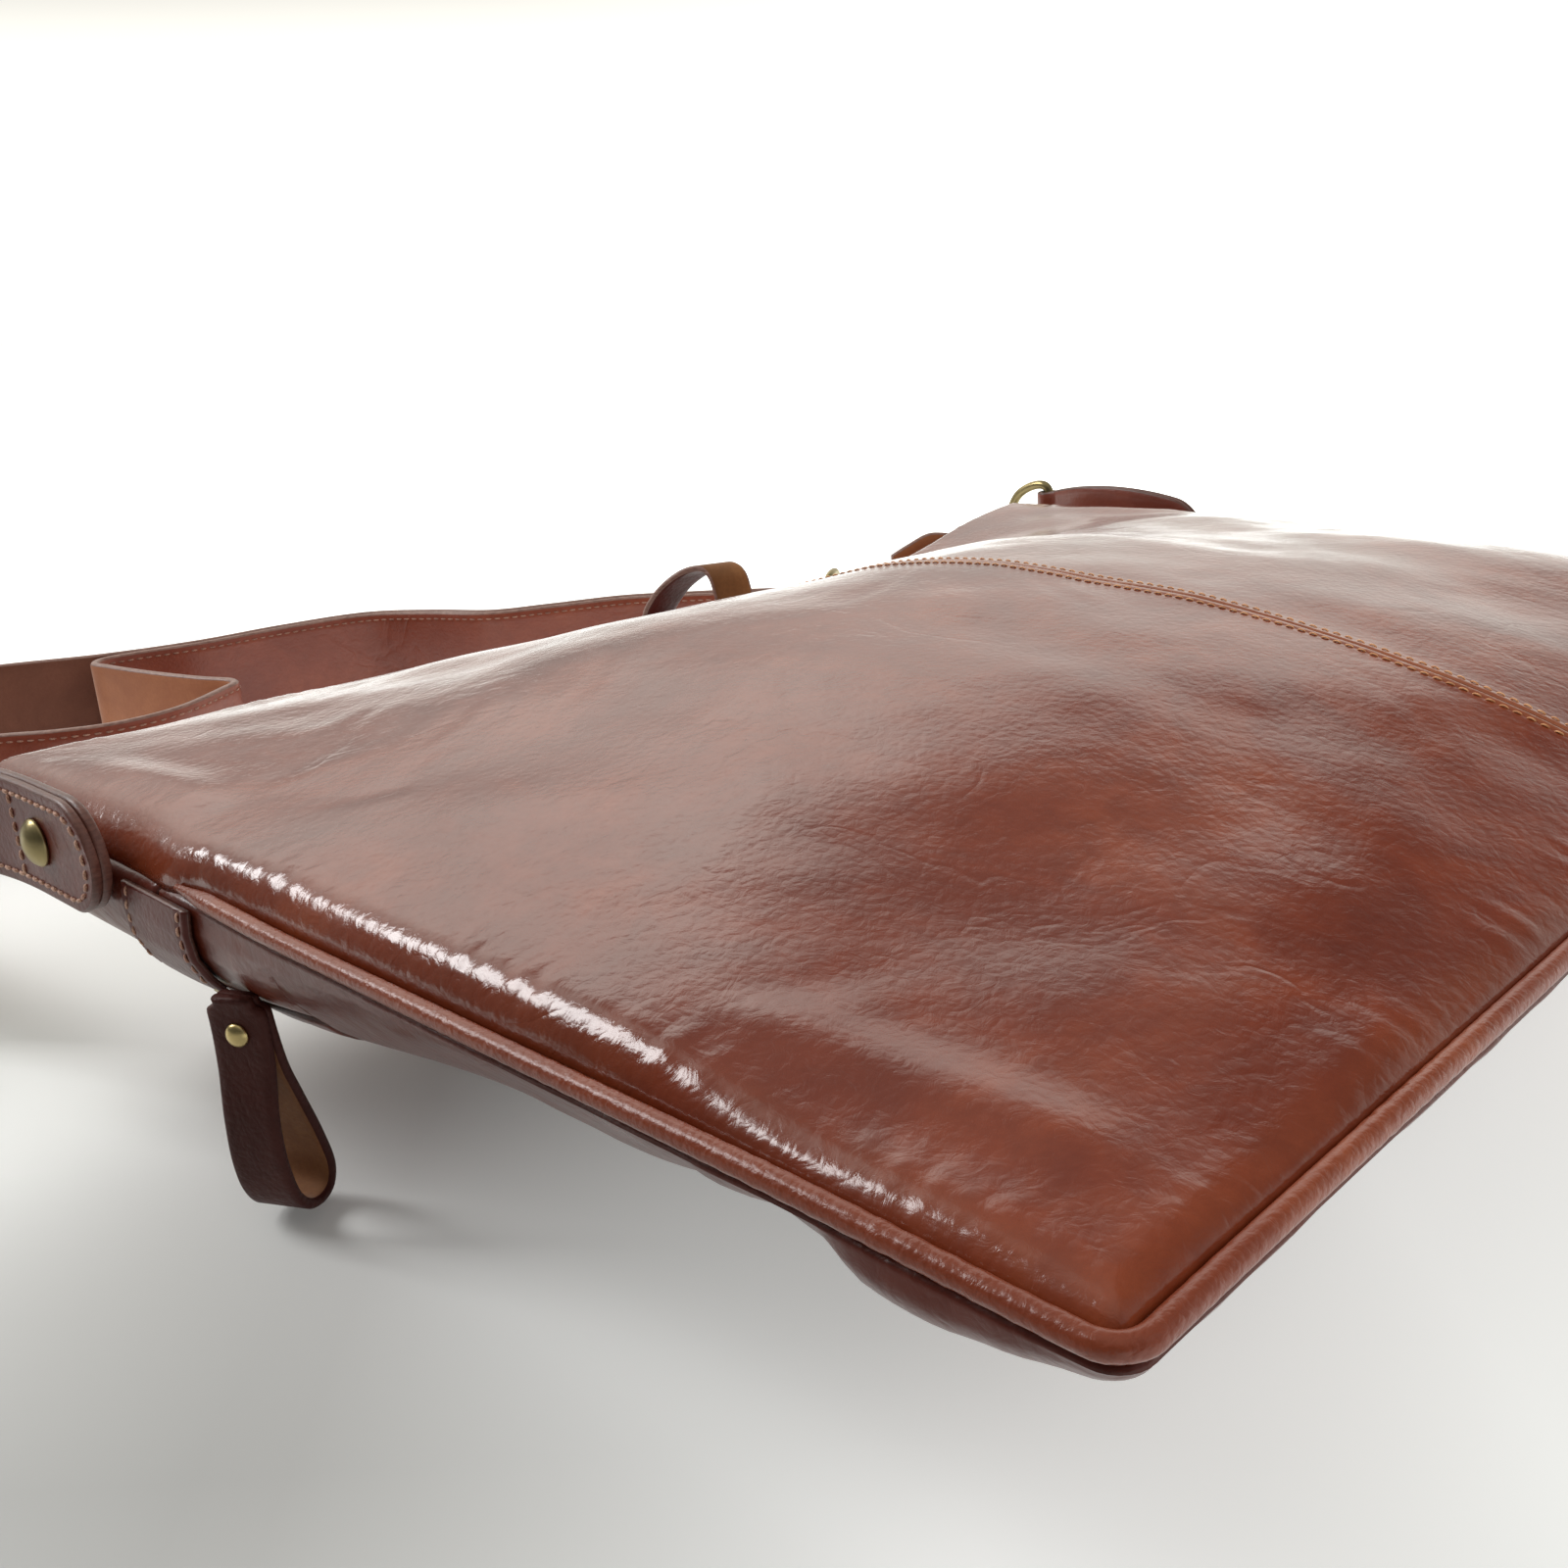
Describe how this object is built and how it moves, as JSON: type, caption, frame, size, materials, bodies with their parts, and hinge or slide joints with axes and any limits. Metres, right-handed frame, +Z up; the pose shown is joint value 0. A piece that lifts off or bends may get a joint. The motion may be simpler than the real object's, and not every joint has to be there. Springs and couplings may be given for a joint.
{
  "type": "laptop bag",
  "caption": "Soft leather laptop bag lying on its front, with a swelling seamed back, piped edge, two-way zip, corner tabs with D-rings and a shoulder strap on its edge.",
  "frame": {"origin": "middle of the flat resting face of the front panel, on the surface the bag lies on", "axes": "+X along the bag's width, +Y towards the bag's top edge with the zip and the strap, +Z up through the back panel"},
  "size_m": [0.4421, 0.5863, 0.0929],
  "materials": {
    "panel_leather": "glossy red-brown smooth leather with fine creases",
    "edge_leather": "glossy leather cord covering, rubbed lighter",
    "tab_leather": "glossy maroon strap leather with tan stitching",
    "pull_leather": "dark brown grained leather, tan suede inside",
    "strap_leather": "maroon strap leather with a tan flesh side and light cut edges",
    "zip_tape": "dark brown woven zip tape",
    "antique_brass": "antiqued olive brass, worn bright on the high points"
  },
  "bodies": {
    "root": {"back_panel_left": "panel_leather", "back_panel_right": "panel_leather", "front_panel": "panel_leather", "gusset_lower": "panel_leather", "gusset_top_back": "panel_leather", "gusset_top_front": "panel_leather", "piping": "edge_leather", "end_patch_left": "tab_leather", "end_patch_right": "tab_leather", "zip_closed": "zip_tape", "zip_open_back": "zip_tape", "zip_open_front": "zip_tape", "zip_slider_side": "antique_brass", "zip_slider_top": "antique_brass", "zip_pull_side": "pull_leather", "zip_pull_top": "pull_leather", "pull_rivet_side": "antique_brass", "tab_left": "tab_leather", "tab_right": "tab_leather", "tab_stud_left": "antique_brass", "tab_stud_right": "antique_brass", "d_ring_left": "antique_brass", "d_ring_right": "antique_brass", "strap_link_left": "antique_brass", "strap_link_right": "antique_brass", "shoulder_strap": "strap_leather", "strap_slide": "antique_brass"}
  },
  "joints": []
}
